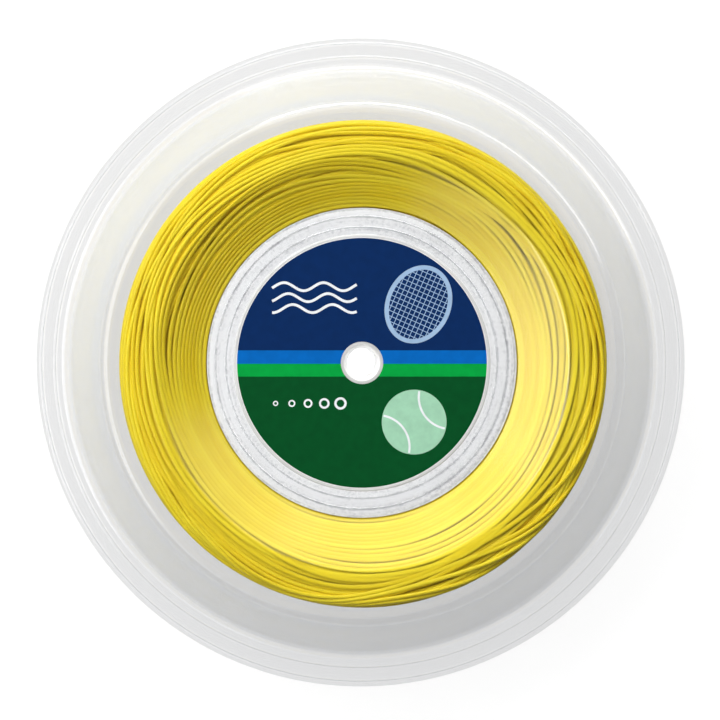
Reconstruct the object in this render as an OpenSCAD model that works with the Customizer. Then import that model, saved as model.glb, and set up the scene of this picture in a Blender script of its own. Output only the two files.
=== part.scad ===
// Racket string reel. Two clear formed shells are clamped on a paper core tube by
// two end plugs that snap together through it, and the string is wound between them.
// The reel lies flat, with its axis on Z and its back crown on z = 0.

/* [Reel] */
// Outside diameter over the lips
reel_d = 185; // [175:0.5:200]
// Width over the two crowns
reel_w = 42; // [38:0.5:48]

/* [Clear shells] */
// Thickness of the formed sheet
shell_t = 0.8; // [0.6:0.1:1.1]
// Slit between the two lips, where the string comes out
lip_gap = 1; // [0.6:0.1:1.6]
// Radial width of the flat lip
lip_w = 8.5; // [8:0.1:10]
// Radial run of the shoulder that drops from the crown to the lip
shoulder_run = 10.7; // [9:0.1:12]
// Radial width of the flat crown
crown_w = 14.3; // [12.5:0.1:16]
// Depth of the hub face below the crown
hub_drop = 6; // [4.5:0.25:7.5]
// Distance from the core's edge to where the funnel starts to rise
funnel_start = 0.4; // [0.3:0.1:1.5]
// Bend radius where the funnel meets the hub face
hub_bend = 1.5; // [1:0.1:2.5]
// Bend radius where the funnel meets the crown
funnel_bend = 6; // [4:0.5:10]
// Bend radius at the outer edge of the crown
crown_bend = 1.6; // [1.2:0.1:2.4]
// Bend radius where the shoulder meets the lip
lip_bend = 3; // [2:0.1:3.8]
// Height of the stiffening beads in the lip
lip_bead_h = 0.25; // [0.1:0.05:0.5]
// Width of the stiffening beads in the lip
lip_bead_w = 1.4; // [1.2:0.1:1.8]
// Distance of the outer lip bead from the rim
outer_bead_in = 1.5; // [1.2:0.1:1.8]
// Distance of the inner lip bead from the rim
inner_bead_in = 5.4; // [4:0.1:5.6]
// Height of the fine beads in the hub face
hub_bead_h = 0.25; // [0.1:0.05:0.4]
// Width of the fine beads in the hub face
hub_bead_w = 1.1; // [0.9:0.1:1.3]
// Distance of the outer hub bead from the core's edge
hub_bead_in = 2.5; // [2.2:0.1:3]
// Spacing of the two hub beads
hub_bead_pitch = 3; // [1.6:0.1:3.4]

/* [Core tube] */
// Outside diameter of the paper tube
core_od = 88; // [84:0.5:92]
// Wall of the paper tube
core_wall = 11; // [10:0.25:13]

/* [End plugs] */
// How far the plug's plate reaches over the core's wall
plug_overlap = 3.5; // [3:0.1:4]
// Thickness of the plug's plate
plate_t = 1.4; // [1.1:0.1:2]
// Rounding of the plate's outer edge
plate_round = 0.4; // [0.2:0.05:0.6]
// Depth of the label recess
recess_depth = 0.3; // [0.25:0.05:0.5]
// Width of the raised rim round the label recess
recess_rim = 0.7; // [0.6:0.1:1.1]
// Length of the skirt inside the core
skirt_len = 10; // [8:0.5:13]
// Wall of the skirt
skirt_wall = 1.6; // [1.2:0.1:2.2]
// Lead-in chamfer at the skirt's end
skirt_chamfer = 0.8; // [0.4:0.1:1]
// Number of crush ribs on the skirt
crush_ribs = 12; // [6:1:16]
// Outside diameter of the spindle boss
boss_d = 16; // [15:0.5:22]
// Number of radial webs between boss and skirt
webs = 6; // [4:1:8]
// Thickness of a web
web_t = 1.5; // [1:0.1:2.2]
// Depth of a web behind the plate
web_depth = 8; // [6:0.5:10]
// Length of the snap spigot
spigot_len = 4.5; // [3.8:0.1:6]
// Wall of the snap spigot
spigot_wall = 1.5; // [1.3:0.1:1.7]
// Height of the snap ridge
snap_h = 0.25; // [0.15:0.05:0.35]
// Width of the snap ridge's top
snap_w = 1.2; // [0.8:0.1:1.4]

/* [Spindle bore] */
// Diameter of the spindle bore
spindle_d = 8.5; // [8:0.5:11]
// Lead-in chamfer at the bore's mouth
bore_lead = 0.9; // [0.5:0.1:1.2]
// Width of the flat ring between the lead-in and the label recess
bore_rim = 0.65; // [0.6:0.05:1.4]

/* [Label] */
// Thickness of the printed label
label_t = 0.2; // [0.1:0.05:0.25]

/* [String] */
// Diameter of the string
string_d = 1.25; // [1.1:0.05:1.4]
// Radial distance of the full winding from the crown's outer edge
string_margin = 3.8; // [3:0.1:8]
// Rounding of the winding's outer corners
pack_round = 5; // [3:0.5:8]
// Turns drawn in the outer layer
layer_turns = 24; // [16:1:24]

/* [Start tape] */
// Width of the tape that holds the string's inner end
tape_w = 12; // [8:1:18]
// Thickness of the tape
tape_t = 0.15; // [0.1:0.05:0.25]
// Arc of the core that the tape covers, in degrees
tape_arc = 50; // [30:5:90]

/* [Clearances] */
// Clearance of the skirt in the core
skirt_clear = 0.15; // [0.05:0.05:0.3]
// Clearance left at the crush ribs
rib_clear = 0.02; // [0.01:0.01:0.04]
// Clearance of the spigot in its socket
snap_clear = 0.1; // [0.05:0.05:0.2]
// Clearance of the label in its recess
label_clear = 0.2; // [0.1:0.05:0.3]
// Clearance of the wound string from the shells and the core
string_clear = 0.4; // [0.3:0.05:0.6]

/* [Hidden] */

$fn = 96;
bend_steps = 6;      // straight pieces in a formed bend
bead_steps = 6;      // straight pieces across a bead
ring_steps = 24;     // rings in one turn of string
ring_sides = 6;      // sides of the drawn string
over = 1;            // cutters and joined shapes pass a face by this
eps = 0.01;          // stacked shapes of one moulding overlap by this

reel_r = reel_d / 2;
core_r = core_od / 2;
core_bore_r = core_r - core_wall;

// Heights above the middle plane
mid_z = reel_w / 2;
crown_h = reel_w / 2;
hub_h = crown_h - hub_drop;
lip_h = lip_gap / 2 + shell_t;
core_h = hub_h - shell_t;
plate_h = hub_h + plate_t;
recess_h = plate_h - recess_depth;
skirt_h = hub_h - skirt_len;

// Corner radii of the shell's outline
shell_hole_r = core_bore_r;
funnel_in_r = core_r + funnel_start;
lip_in_r = reel_r - lip_w;
crown_out_r = lip_in_r - shoulder_run;
crown_in_r = crown_out_r - crown_w;

// Plug, label and bore
plate_r = core_bore_r + plug_overlap;
skirt_r = core_bore_r - skirt_clear;
bore_r = spindle_d / 2;
boss_r = boss_d / 2;
recess_r = plate_r - recess_rim;
mouth_r = bore_r + bore_lead;
recess_in_r = mouth_r + bore_rim;
label_r = recess_r - label_clear;
label_hole_r = recess_in_r + label_clear;
spigot_r = bore_r + spigot_wall;
socket_r = spigot_r + snap_clear;
snap_mid = spigot_len - 1.4 * snap_w;

// Wound string
pack_in_r = core_r + string_clear;
pack_r = crown_out_r - string_margin;
funnel_a = atan2(hub_drop, crown_in_r - funnel_in_r);
// A straight run between two rings lies inside the turn's true circle by this much
ring_sag = pack_r * (1 - cos(180 / ring_steps));

function unit(v) = v / norm(v);
function reversed(list) = [for (i = [len(list) - 1:-1:0]) list[i]];
function upside_down(path) = reversed([for (p = path) [p.x, -p.y]]);

// Points of the arc of radius r that rounds the corner b of the path a-b-c
function corner_arc(a, b, c, r) =
    let (u = unit(a - b),
         v = unit(c - b),
         half = acos(u * v) / 2,
         centre = b + unit(u + v) * r / sin(half),
         start = b + u * r / tan(half) - centre,
         from = atan2(start.y, start.x),
         turn = sign(cross(b - a, c - b)) * (180 - 2 * half))
    [for (i = [0:bend_steps])
        let (w = from + turn * i / bend_steps)
        centre + r * [cos(w), sin(w)]];

// A path of [radius, height] corners, each rounded by its own bend radius
function rounded(path, radii) = [
    for (i = [0:len(path) - 1])
        each radii[i] == 0 ? [path[i]]
            : corner_arc(path[i - 1], path[i], path[i + 1], radii[i])];

// The same path moved sideways by t, to its right as it runs
function moved(path, t) =
    let (last = len(path) - 1)
    [for (i = [0:last])
        let (u = unit(path[max(i, 1)] - path[max(i, 1) - 1]),
             v = unit(path[min(i, last - 1) + 1] - path[min(i, last - 1)]),
             n = unit([u.y + v.y, -u.x - v.x]))
        path[i] + n * t / (n * [u.y, -u.x])];

// A bead centred on radius r: one whole cosine wave that stands on height h
function bead(r, h, width, rise) = [
    for (i = [0:bead_steps])
        [r + width * (i / bead_steps - 0.5), h + rise * (1 - cos(360 * i / bead_steps)) / 2]];

// Outer surface of the front shell, from its hole to its rim
function shell_path() =
    let (bends = rounded([[shell_hole_r, hub_h], [funnel_in_r, hub_h], [crown_in_r, crown_h],
                          [crown_out_r, crown_h], [lip_in_r, lip_h], [reel_r, lip_h]],
                         [0, hub_bend, funnel_bend, crown_bend, lip_bend, 0]),
         last = len(bends) - 1)
    concat([bends[0]],
           bead(core_r - hub_bead_in - hub_bead_pitch, hub_h, hub_bead_w, hub_bead_h),
           bead(core_r - hub_bead_in, hub_h, hub_bead_w, hub_bead_h),
           [for (i = [1:last - 1]) bends[i]],
           bead(reel_r - inner_bead_in, lip_h, lip_bead_w, lip_bead_h),
           bead(reel_r - outer_bead_in, lip_h, lip_bead_w, lip_bead_h),
           [bends[last]]);

// Outline of the wound string's front half, inset from its own surface
function pack_path(inset) =
    let (drop = shell_t + string_clear + inset,
         slant = drop / cos(funnel_a),
         in_r = pack_in_r + inset)
    rounded([[in_r, hub_h + (in_r - funnel_in_r) * tan(funnel_a) - slant],
             [crown_in_r + (slant - drop) / tan(funnel_a), crown_h - drop],
             [pack_r - inset, crown_h - drop],
             [pack_r - inset, 0]],
            [0, funnel_bend, pack_round - inset, 0]);

module on_middle() translate([0, 0, mid_z]) children();

module to_back() mirror([0, 0, 1]) children();

// ---------------------------------------------------------- clear shells

module shell() {
    path = shell_path();
    color([0.86, 0.9, 0.94, 0.35])
        rotate_extrude() polygon(concat(path, reversed(moved(path, shell_t))));
}

module front_shell() on_middle() shell();

module back_shell() on_middle() to_back() shell();

// ------------------------------------------------------------- core tube

module core_tube() {
    color([0.95, 0.94, 0.91]) on_middle() difference() {
        cylinder(h = 2 * core_h, r = core_r, center = true);
        cylinder(h = 2 * (core_h + over), r = core_bore_r, center = true);
    }
}

module start_tape() {
    color([0.9, 0.88, 0.8]) on_middle()
        rotate([0, 0, -tape_arc / 2])
            rotate_extrude(angle = tape_arc)
                translate([core_r, -tape_w / 2]) square([tape_t, tape_w]);
}

// ------------------------------------------------------------- end plugs

// Plate with its rounded edge, the label recess and the bore's mouth
module plug_plate() {
    rim = rounded([[plate_r, hub_h], [plate_r, plate_h], [recess_r, plate_h]],
                  [0, plate_round, 0]);
    rotate_extrude() polygon(concat(
        [[bore_r, hub_h]], rim,
        [[recess_r, recess_h], [recess_in_r, recess_h], [recess_in_r, plate_h],
         [mouth_r, plate_h], [bore_r, plate_h - bore_lead]]));
}

module plug_skirt() {
    in_r = skirt_r - skirt_wall;
    top = hub_h + eps;
    rotate_extrude() polygon([
        [in_r, top], [in_r, skirt_h], [skirt_r - skirt_chamfer, skirt_h],
        [skirt_r, skirt_h + skirt_chamfer], [skirt_r, top]]);
}

// Ribs that stand proud of the skirt and grip the core's bore
module plug_crush_ribs() {
    rib_r = skirt_wall / 2;
    foot = skirt_h + 2 * skirt_chamfer;
    for (i = [0:crush_ribs - 1])
        rotate([0, 0, 360 * i / crush_ribs])
            translate([core_bore_r - rib_clear - rib_r, 0, foot])
                cylinder(h = hub_h + eps - foot, r = rib_r, $fn = 24);
}

module plug_webs() {
    start = boss_r - over;
    for (i = [0:webs - 1])
        rotate([0, 0, 360 * (i + 0.5) / webs])
            translate([start, -web_t / 2, hub_h - web_depth])
                cube([skirt_r - skirt_wall / 2 - start, web_t, web_depth + eps]);
}

module plug_boss() {
    difference() {
        cylinder(h = hub_h + eps, r = boss_r);
        translate([0, 0, -over]) cylinder(h = hub_h + 2 * over, r = bore_r);
    }
}

module plug() {
    plug_plate();
    plug_skirt();
    plug_crush_ribs();
    plug_webs();
    plug_boss();
}

// Snap ridge on a spigot of radius r, or the groove for it in a socket of radius r
module snap_ring(r) {
    rotate_extrude() translate([r, -snap_mid]) polygon([
        [-over, snap_w / 2 + snap_h], [0, snap_w / 2 + snap_h], [snap_h, snap_w / 2],
        [snap_h, -snap_w / 2], [0, -snap_w / 2 - snap_h], [-over, -snap_w / 2 - snap_h]]);
}

module front_plug() {
    color([0.96, 0.96, 0.95]) on_middle() {
        plug();
        difference() {
            union() {
                translate([0, 0, -spigot_len]) cylinder(h = spigot_len + eps, r = spigot_r);
                snap_ring(spigot_r);
            }
            translate([0, 0, -spigot_len - over])
                cylinder(h = spigot_len + 2 * over, r = bore_r);
        }
    }
}

module back_plug() {
    color([0.96, 0.96, 0.95]) on_middle() difference() {
        to_back() plug();
        translate([0, 0, -spigot_len - snap_clear])
            cylinder(h = spigot_len + snap_clear + over, r = socket_r);
        snap_ring(socket_r);
    }
}

// ----------------------------------------------------------------- label

module front_label() {
    color([0.07, 0.17, 0.38]) on_middle() translate([0, 0, recess_h]) difference() {
        cylinder(h = label_t, r = label_r);
        translate([0, 0, -over]) cylinder(h = label_t + 2 * over, r = label_hole_r);
    }
}

// ---------------------------------------------------------------- string

// The layers under the outer one, as one plain body
module string_inner_layers() {
    half = pack_path(string_d + ring_sag);
    color([0.86, 0.74, 0.1]) on_middle() rotate_extrude() polygon(concat(
        [[pack_in_r, -half[0].y], [pack_in_r, half[0].y]], half, upside_down(half)));
}

// Outline that the outer layer follows: up the front face, across, down the back face
layer_half = pack_path(string_d / 2);
layer_path = concat(layer_half, upside_down(layer_half));
layer_legs = concat([for (i = [1:len(layer_path) - 1]) norm(layer_path[i] - layer_path[i - 1])],
                    [0]);
layer_run = [for (i = 0, s = 0; i < len(layer_path); s = s + layer_legs[i], i = i + 1) s];
layer_r = [for (i = [0:len(layer_run) - 1]) [layer_run[i], layer_path[i].x]];
layer_h = [for (i = [0:len(layer_run) - 1]) [layer_run[i], layer_path[i].y]];
layer_length = layer_run[len(layer_run) - 1];
layer_steps = layer_turns * ring_steps;

// The turns advance along that outline at a steady rate
turns_line = [
    for (i = [0:layer_steps])
        let (s = layer_length * i / layer_steps,
             w = 360 * i / ring_steps)
        [lookup(s, layer_r) * cos(w), lookup(s, layer_r) * sin(w), lookup(s, layer_h)]];

// Each end runs straight on for one diameter of string
function past(line, i, j) = line[i] + unit(line[i] - line[j]) * string_d;
layer_line = concat([past(turns_line, 0, 1)], turns_line,
                    [past(turns_line, layer_steps, layer_steps - 1)]);

// Least gap of the outer layer to itself, from points about one turn apart
layer_gap = min([for (i = [0:len(layer_line) - ring_steps - 3], j = [-2:2])
    norm(layer_line[i] - layer_line[i + ring_steps + j])]) - string_d;
echo(str("least gap of the outer layer to itself, mm: ", layer_gap));

// Ring of points round place i of a line, square to the line
function ring(line, i, r) =
    let (last = len(line) - 1,
         way = unit(line[min(i + 1, last)] - line[max(i - 1, 0)]),
         side = unit(cross(way, [0, 0, 1])),
         up = cross(side, way))
    [for (k = [0:ring_sides - 1])
        let (w = 360 * (k + 0.5) / ring_sides)
        line[i] + r * (cos(w) * side + sin(w) * up)];

// Closed tube of radius r along a line of points
module tube(line, r) {
    last = len(line) - 1;
    walls = [
        for (i = [0:last - 1], k = [0:ring_sides - 1])
            let (a = i * ring_sides + k,
                 b = i * ring_sides + (k + 1) % ring_sides)
            each [[a, a + ring_sides, b + ring_sides], [a, b + ring_sides, b]]];
    first_cap = [for (k = [1:ring_sides - 2]) [0, k, k + 1]];
    last_cap = [for (k = [1:ring_sides - 2]) [last, last, last] * ring_sides + [0, k + 1, k]];
    polyhedron(points = [for (i = [0:last]) each ring(line, i, r)],
               faces = concat(walls, first_cap, last_cap));
}

module string_outer_layer() {
    color([0.98, 0.86, 0.2]) on_middle() tube(layer_line, string_d / 2);
}

front_shell();
back_shell();
core_tube();
front_plug();
back_plug();
front_label();
string_inner_layers();
string_outer_layer();
start_tape();
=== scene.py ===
"""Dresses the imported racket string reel: clear shells, paper core, plugs, label and string.

Sizes are dataclass fields in millimetres, with heights taken from the reel's middle plane;
finishes and lamps have theirs in metres. Meshes are worked out as numpy arrays and become
metres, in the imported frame, when they are made.
"""

import logging
import math
from collections.abc import Sequence
from dataclasses import dataclass, field
from enum import Enum

import bpy
import numpy as np
from mathutils import Matrix, Quaternion, Vector


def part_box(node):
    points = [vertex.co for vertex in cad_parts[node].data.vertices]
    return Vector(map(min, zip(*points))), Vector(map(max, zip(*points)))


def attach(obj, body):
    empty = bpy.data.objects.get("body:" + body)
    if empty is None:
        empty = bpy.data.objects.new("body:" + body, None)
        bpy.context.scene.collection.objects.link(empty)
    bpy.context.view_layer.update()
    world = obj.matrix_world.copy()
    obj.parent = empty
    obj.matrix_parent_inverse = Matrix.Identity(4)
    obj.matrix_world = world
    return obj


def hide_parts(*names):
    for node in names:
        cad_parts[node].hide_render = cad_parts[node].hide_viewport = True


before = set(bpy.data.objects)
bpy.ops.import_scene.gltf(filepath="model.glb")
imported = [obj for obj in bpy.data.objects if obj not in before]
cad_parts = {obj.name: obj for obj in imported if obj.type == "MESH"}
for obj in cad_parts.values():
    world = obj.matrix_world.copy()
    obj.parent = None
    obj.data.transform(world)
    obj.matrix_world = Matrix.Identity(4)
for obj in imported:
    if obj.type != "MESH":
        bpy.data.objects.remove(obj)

LOG = logging.getLogger("string_reel")
Array = np.ndarray
Mesh = tuple[Array, Array]
Grid = tuple[Array, Array]
Colour = tuple[float, float, float]
Socket = bpy.types.NodeSocket
Feed = Socket | float | Sequence[float]

METRES = 0.001
BODY = "root"
WHITE = (1.0, 1.0, 1.0, 1.0)
NOISE_RANGE = (0.3, 0.7)  # Nearly all of a noise lies between these.


class Side(Enum):
    """A face of the reel, as the sign of its height above the middle plane."""

    FRONT = 1
    BACK = -1


class Slot(Enum):
    """The record's material slots."""

    SHELL = "clear_shell"
    PAPERBOARD = "paperboard"
    PLUG = "plug_plastic"
    LABEL = "label_print"
    STRING = "string_yellow"
    TAPE = "tape_paper"


class Ink(Enum):
    """Printing inks of the label, as linear colours."""

    NAVY = (0.0022, 0.0200, 0.092)
    BLUE = (0.0006, 0.112, 0.42)
    GREEN = (0.0006, 0.305, 0.0440)
    DARK_GREEN = (0.0008, 0.0630, 0.0140)
    PALE_BLUE = (0.30, 0.43, 0.60)
    PALE_GREEN = (0.31, 0.56, 0.39)
    WHITE = (0.74, 0.76, 0.78)


# ---- outlines


def rounded_path(corners: Sequence[tuple[float, float]], radii: Sequence[float],
                 steps: int = 12) -> Array:
    """Round the corners of an open path.

    Each corner becomes the arc of its radius that touches both of its legs: the arc's centre
    lies on the bisector, at radius / sin(half angle) from the corner.

    Args:
        corners: Points of the path, as (radius, height).
        radii: Radius of the arc at each corner; 0 keeps the corner.
        steps: Straight pieces in each arc.

    Returns:
        Points of the rounded path, shape (n, 2).
    """
    points = np.asarray(corners, float)
    parts: list[Array] = []
    for index, radius in enumerate(radii):
        corner = points[index]
        if radius == 0:
            parts.append(corner[None])
            continue
        before = points[index - 1] - corner
        after = points[index + 1] - corner
        before /= np.linalg.norm(before)
        after /= np.linalg.norm(after)
        half = math.acos(float(before @ after)) / 2
        bisector = (before + after) / np.linalg.norm(before + after)
        centre = corner + bisector * radius / math.sin(half)
        start = corner + before * radius / math.tan(half) - centre
        turn = np.sign(before[1] * after[0] - before[0] * after[1]) * (math.pi - 2 * half)
        angle = math.atan2(start[1], start[0]) + turn * np.linspace(0, 1, steps + 1)
        parts.append(centre + radius * np.stack([np.cos(angle), np.sin(angle)], axis=1))
    return np.concatenate(parts)


def offset_path(path: Array, distance: float) -> Array:
    """Move a path sideways, to its right as it runs, with mitred corners.

    Args:
        path: Points, shape (n, 2).
        distance: How far each leg moves.

    Returns:
        Points of the moved path, shape (n, 2).
    """
    legs = np.diff(path, axis=0)
    legs /= np.linalg.norm(legs, axis=1, keepdims=True)
    right = np.stack([legs[:, 1], -legs[:, 0]], axis=1)
    first = np.concatenate([right[:1], right])
    second = np.concatenate([right, right[-1:]])
    middle = first + second
    middle /= np.linalg.norm(middle, axis=1, keepdims=True)
    return path + middle * (distance / np.sum(middle * first, axis=1))[:, None]


def bead(centre: float, height: float, width: float, rise: float, steps: int = 14) -> Array:
    """Give a bead's outline: one whole cosine wave that stands on a flat face.

    Args:
        centre: Radius of the bead's crest.
        height: Height of the face.
        width: Width of the bead.
        rise: Height of its crest above the face.
        steps: Straight pieces across it.

    Returns:
        Points, shape (steps + 1, 2).
    """
    part = np.linspace(0, 1, steps + 1)
    return np.stack([centre + width * (part - 0.5),
                     height + rise * (1 - np.cos(2 * math.pi * part)) / 2], axis=1)


# ---- meshes


def middle_height() -> float:
    """Give the height of the reel's middle plane, halfway between the shells, in metres."""
    return (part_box("front_shell")[0].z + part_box("back_shell")[1].z) / 2


def make_mesh(name: str, points: Array, faces: Sequence[Array], sharp_degrees: float = 40,
              ) -> bpy.types.Object:
    """Make a smooth-shaded object that rides on the reel's body.

    Args:
        name: Name of the object.
        points: Points in millimetres from the middle plane, shape (n, 3).
        faces: Index arrays, each of faces with the same number of corners.
        sharp_degrees: Edges that bend more than this stay sharp.

    Returns:
        The linked object, at the origin, with its place in its mesh.
    """
    middle = np.array([0.0, 0.0, middle_height()])
    mesh = bpy.data.meshes.new(name)
    mesh.vertices.add(len(points))
    mesh.vertices.foreach_set("co", (points * METRES + middle).ravel().astype(np.float32))
    corners = np.concatenate([part.ravel() for part in faces])
    widths = np.concatenate([np.full(len(part), part.shape[1]) for part in faces])
    starts = np.concatenate([[0], np.cumsum(widths)[:-1]])
    mesh.loops.add(len(corners))
    mesh.loops.foreach_set("vertex_index", corners.astype(np.int32))
    mesh.polygons.add(len(widths))
    mesh.polygons.foreach_set("loop_start", starts.astype(np.int32))
    mesh.update(calc_edges=True)
    mesh.validate()
    mesh.shade_smooth()
    mesh.set_sharp_from_angle(angle=math.radians(sharp_degrees))
    piece = bpy.data.objects.new(name, mesh)
    bpy.context.scene.collection.objects.link(piece)
    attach(piece, BODY)
    return piece


def revolve(profile: Array, steps: int) -> Mesh:
    """Turn a closed profile about the reel's axis.

    Point (i, j) is the profile's point j turned by i whole steps, and each quad joins two
    neighbours on the profile at two neighbouring steps, wound so that it faces outwards.

    Args:
        profile: Closed outline as (radius, height), shape (n, 2), in either sense.
        steps: Steps in the whole turn.

    Returns:
        Points, shape (steps * n, 3), and quads, shape (steps * n, 4).
    """
    following = np.roll(profile, -1, axis=0)
    area = np.sum(profile[:, 0] * following[:, 1] - following[:, 0] * profile[:, 1])
    outline = profile if area < 0 else profile[::-1]
    angle = np.arange(steps) * 2 * math.pi / steps
    radius = outline[None, :, 0]
    points = np.stack([radius * np.cos(angle)[:, None], radius * np.sin(angle)[:, None],
                       np.broadcast_to(outline[None, :, 1], (steps, len(outline)))], axis=2)
    i, j = np.meshgrid(np.arange(steps), np.arange(len(outline)), indexing="ij")
    here = i * len(outline) + j
    along = i * len(outline) + (j + 1) % len(outline)
    turned = ((i + 1) % steps) * len(outline)
    quads = np.stack([here, along, turned + (j + 1) % len(outline), turned + j], axis=2)
    return points.reshape(-1, 3), quads.reshape(-1, 4)


def film(x: Array, y: Array, low: float, high: float) -> Mesh:
    """Make a thin closed slab over a grid of places on a flat face.

    The slab has one copy of the grid at each height. Four strips of quads close its sides.

    Args:
        x: Places along X, shape (m, n).
        y: Places along Y, shape (m, n); with x it runs anticlockwise from m to n.
        low: Height of the underside.
        high: Height of the top.

    Returns:
        Points, shape (2 * m * n, 3), and quads.
    """
    m, n = x.shape
    flat = np.stack([x, y], axis=2).reshape(-1, 2)
    points = np.concatenate([np.column_stack([flat, np.full(m * n, high)]),
                             np.column_stack([flat, np.full(m * n, low)])])
    index = np.arange(m * n).reshape(m, n)
    top = np.stack([index[:-1, :-1], index[1:, :-1], index[1:, 1:], index[:-1, 1:]], axis=2)
    top = top.reshape(-1, 4)
    rim = np.concatenate([index[:-1, 0], index[-1, :-1], index[:0:-1, -1], index[0, :0:-1]])
    ahead = np.roll(rim, -1)
    side = np.stack([rim, rim + m * n, ahead + m * n, ahead], axis=1)
    return points, np.concatenate([top, top[:, ::-1] + m * n, side])


def joined(parts: Sequence[Mesh]) -> Mesh:
    """Join several meshes into one.

    Args:
        parts: The points and quads of each.

    Returns:
        The points and quads of them all.
    """
    counts = [len(points) for points, _ in parts]
    starts = np.concatenate([[0], np.cumsum(counts)[:-1]])
    quads = [faces + start for (_, faces), start in zip(parts, starts)]
    return np.concatenate([points for points, _ in parts]), np.concatenate(quads)


# ---- finishes


class Tree:
    """A node tree under construction, with short calls for the nodes that it needs."""

    def __init__(self, owner: bpy.types.Material | bpy.types.World, kind: str) -> None:
        """Clear the owner's tree and give it an output.

        Args:
            owner: The material or world.
            kind: Which of both it is: Material or World.
        """
        owner.use_nodes = True
        self.tree = owner.node_tree
        self.tree.nodes.clear()
        self.output = self.node("Output" + kind)

    def show(self, surface: Socket) -> None:
        """Plug a shader into the output."""
        self.feed(self.output.inputs["Surface"], surface)

    def node(self, kind: str, **settings: object) -> bpy.types.Node:
        """Add a node and set its properties.

        Args:
            kind: The node's type, without its ShaderNode.
            **settings: Its properties.

        Returns:
            The node.
        """
        made = self.tree.nodes.new("ShaderNode" + kind)
        for key, value in settings.items():
            setattr(made, key, value)
        return made

    def feed(self, socket: Socket, value: Feed) -> None:
        """Link a socket to another, or set its own value.

        Args:
            socket: The input to feed.
            value: The other socket, or the value.
        """
        if isinstance(value, Socket):
            self.tree.links.new(value, socket)
        else:
            socket.default_value = value

    def wired(self, kind: str, *values: Feed, **settings: object) -> Socket:
        """Add a node and feed its inputs in their order.

        Args:
            kind: The node's type, without its ShaderNode.
            *values: What feeds the inputs.
            **settings: The node's properties.

        Returns:
            Its first output.
        """
        made = self.node(kind, **settings)
        for socket, value in zip(made.inputs, values):
            self.feed(socket, value)
        return made.outputs[0]

    def named(self, kind: str, **values: Feed) -> Socket:
        """Add a node and feed some of its inputs by their names.

        Args:
            kind: The node's type, without its ShaderNode.
            **values: What feeds each input; an underscore in a name stands for a space.

        Returns:
            Its first output.
        """
        made = self.node(kind)
        for name, value in values.items():
            self.feed(made.inputs[name.replace("_", " ")], value)
        return made.outputs[0]

    def math(self, operation: str, *values: Feed) -> Socket:
        """Apply a Math node to sockets or numbers."""
        return self.wired("Math", *values, operation=operation)

    def blend(self, *parts: tuple[Socket, float]) -> Socket:
        """Sum some sockets by their weights.

        Args:
            *parts: Pairs of a socket and its weight.

        Returns:
            The sum.
        """
        total: Socket | float = 0.0
        for socket, weight in parts:
            total = self.math("MULTIPLY_ADD", socket, weight, total)
        return total

    def place(self) -> Socket:
        """Give the Object coordinates, in metres."""
        return self.node("TexCoord").outputs["Object"]

    def polar(self) -> tuple[Socket, Socket, Socket]:
        """Find the angle about the reel's axis and the distance from it.

        Returns:
            The angle's cosine and sine, and the radius in metres.
        """
        parts = self.node("SeparateXYZ")
        self.feed(parts.inputs[0], self.place())
        x, y = parts.outputs[0], parts.outputs[1]
        square = self.math("MULTIPLY_ADD", x, x, self.math("MULTIPLY", y, y))
        radius = self.math("SQRT", square)
        divisor = self.math("MAXIMUM", radius, 1e-6)
        return self.math("DIVIDE", x, divisor), self.math("DIVIDE", y, divisor), radius

    def around(self, swing: float, spread: float) -> Socket:
        """Give coordinates that run slowly round the axis and fast across the radius.

        Args:
            swing: How far the coordinates go in one radian round the axis.
            spread: How far they go in one metre of radius.

        Returns:
            A vector socket.
        """
        rates = zip(self.polar(), (swing, swing, spread))
        return self.wired("CombineXYZ", *(self.math("MULTIPLY", *pair) for pair in rates))

    def noise(self, vector: Socket, scale: float, detail: float = 3,
              roughness: float = 0.5) -> Socket:
        """Give a noise from 0 to 1 at a scale, in cells per unit of the vector."""
        return self.named("TexNoise", Vector=vector, Scale=scale, Detail=detail,
                          Roughness=roughness)

    def ramp(self, value: Socket, places: Sequence[float], *colours: Colour) -> Socket:
        """Turn a value into a colour.

        Args:
            value: The value.
            places: Values at which the colours stand.
            *colours: The colours.

        Returns:
            A colour socket.
        """
        made = self.node("ValToRGB")
        elements = made.color_ramp.elements
        for index, (place, colour) in enumerate(zip(places, colours)):
            if index >= len(elements):
                elements.new(place)
            elements[index].position = place
            elements[index].color = (*colour, 1)
        self.feed(made.inputs[0], value)
        return made.outputs[0]

    def span(self, value: Socket, start: Sequence[float], to: Sequence[float]) -> Socket:
        """Map a value from one (low, high) range to another, clamped."""
        return self.wired("MapRange", value, *start, *to)

    def bump(self, height: Socket, distance: float, strength: float = 1) -> Socket:
        """Give a normal from a height field whose full rise is a distance in metres."""
        return self.named("Bump", Strength=strength, Distance=distance, Height=height)

    def leaning(self, normal: Socket, way: Socket, share: float) -> Socket:
        """Lean a normal towards a direction: normal + share * way, at length 1."""
        total = self.wired("VectorMath", way, (share, share, share), normal,
                           operation="MULTIPLY_ADD")
        return self.wired("VectorMath", total, operation="NORMALIZE")

    def mix(self, factor: Socket | float, first: Socket, second: Socket) -> Socket:
        """Mix two shaders."""
        return self.wired("MixShader", factor, first, second)


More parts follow.
